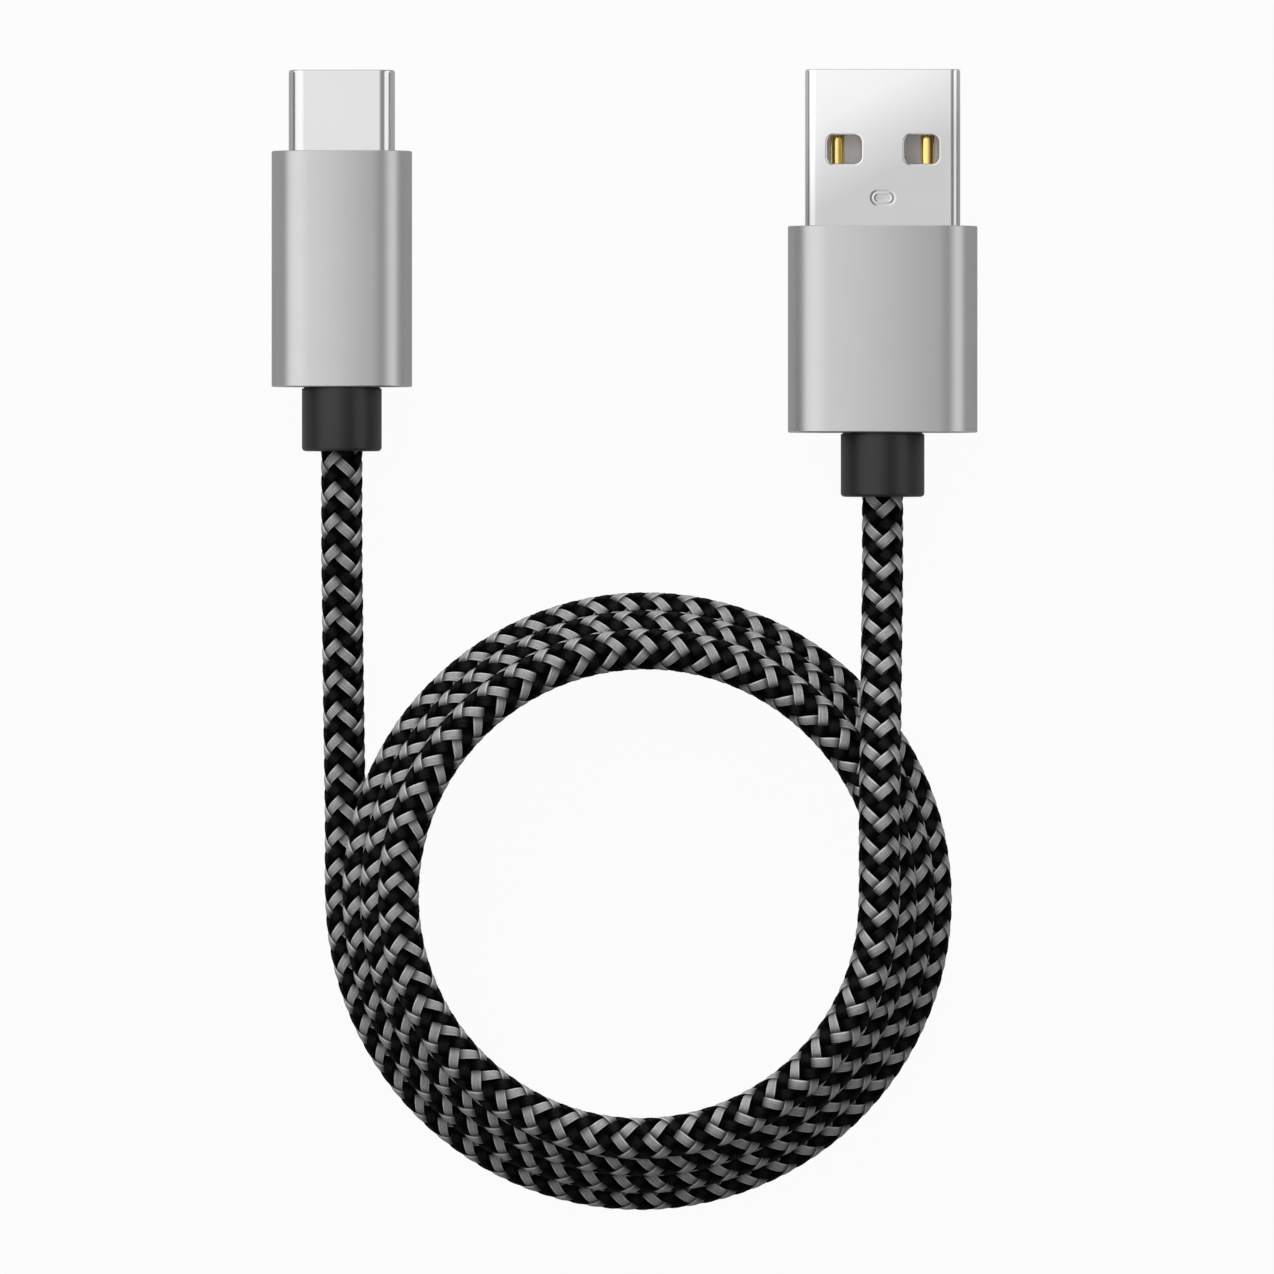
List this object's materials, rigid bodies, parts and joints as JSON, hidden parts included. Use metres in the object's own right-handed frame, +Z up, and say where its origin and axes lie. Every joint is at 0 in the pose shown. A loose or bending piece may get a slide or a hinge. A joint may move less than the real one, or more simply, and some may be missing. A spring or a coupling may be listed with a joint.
{
  "type": "charging cable",
  "caption": "Braided charging cable with a Type-C plug and a Type-A plug in metal housings, wound into a flat coil for storage.",
  "frame": {"origin": "middle of the two plugs' outline, on the surface that the cable lies on", "axes": "+Z up from that surface, +Y towards the tips of both plugs, +X from the Type-C plug to the Type-A plug"},
  "size_m": [0.0548, 0.0885, 0.0127],
  "materials": {
    "braid": "two-colour braided nylon sleeve, grey and black",
    "shell_steel": "polished nickel-plated steel",
    "spring_steel": "stamped stainless spring steel",
    "housing_aluminium": "fine bead-blasted, grey anodised",
    "relief_rubber": "matte black moulded rubber",
    "mould_plastic": "matte black moulded plastic",
    "insulator_white": "pale moulded plastic",
    "insulator_black": "black moulded plastic",
    "contact_gold": "gold-plated, polished",
    "board_green": "glass-fibre board under green solder mask",
    "resistor_black": "ceramic chip, black face",
    "wire_red": "red insulation",
    "wire_white": "white insulation",
    "wire_green": "green insulation",
    "wire_black": "black insulation"
  },
  "bodies": {
    "cable": {"cord_coil": "braid", "cord_lead_usb_a": "braid", "cord_lead_usb_c": "braid", "usb_a_shell": "shell_steel", "usb_a_insulator": "insulator_white", "usb_a_contact_vbus": "contact_gold", "usb_a_contact_d_minus": "contact_gold", "usb_a_contact_d_plus": "contact_gold", "usb_a_contact_gnd": "contact_gold", "usb_a_shield_can": "spring_steel", "usb_a_inner_mould": "mould_plastic", "usb_a_housing": "housing_aluminium", "usb_a_strain_relief": "relief_rubber", "usb_a_cord_end": "braid", "usb_a_wire_vbus": "wire_red", "usb_a_wire_d_minus": "wire_white", "usb_a_wire_d_plus": "wire_green", "usb_a_wire_gnd": "wire_black", "usb_c_shell": "shell_steel", "usb_c_insulator": "insulator_black", "usb_c_contacts_upper": "contact_gold", "usb_c_contacts_lower": "contact_gold", "usb_c_ground_spring_upper": "spring_steel", "usb_c_ground_spring_lower": "spring_steel", "usb_c_circuit_board": "board_green", "usb_c_resistor": "resistor_black", "usb_c_shield_can": "spring_steel", "usb_c_inner_mould": "mould_plastic", "usb_c_housing": "housing_aluminium", "usb_c_strain_relief": "relief_rubber", "usb_c_cord_end": "braid", "usb_c_wire_vbus": "wire_red", "usb_c_wire_d_minus": "wire_white", "usb_c_wire_d_plus": "wire_green", "usb_c_wire_gnd": "wire_black"},
    "latch_left": {"usb_c_latch_left": "spring_steel"},
    "latch_right": {"usb_c_latch_right": "spring_steel"}
  },
  "joints": [
    {"name": "latch_left_spring", "type": "hinge", "parent": "cable", "child": "latch_left", "pos_m": [-0.02545, 0.00758, 0.00325], "axis": [0, 0, 1], "range_deg": [0, 1.6], "stiffness_Nm_per_rad": 0.5},
    {"name": "latch_right_spring", "type": "hinge", "parent": "cable", "child": "latch_right", "pos_m": [-0.01845, 0.00758, 0.00325], "axis": [0, 0, -1], "range_deg": [0, 1.6], "stiffness_Nm_per_rad": 0.5}
  ]
}
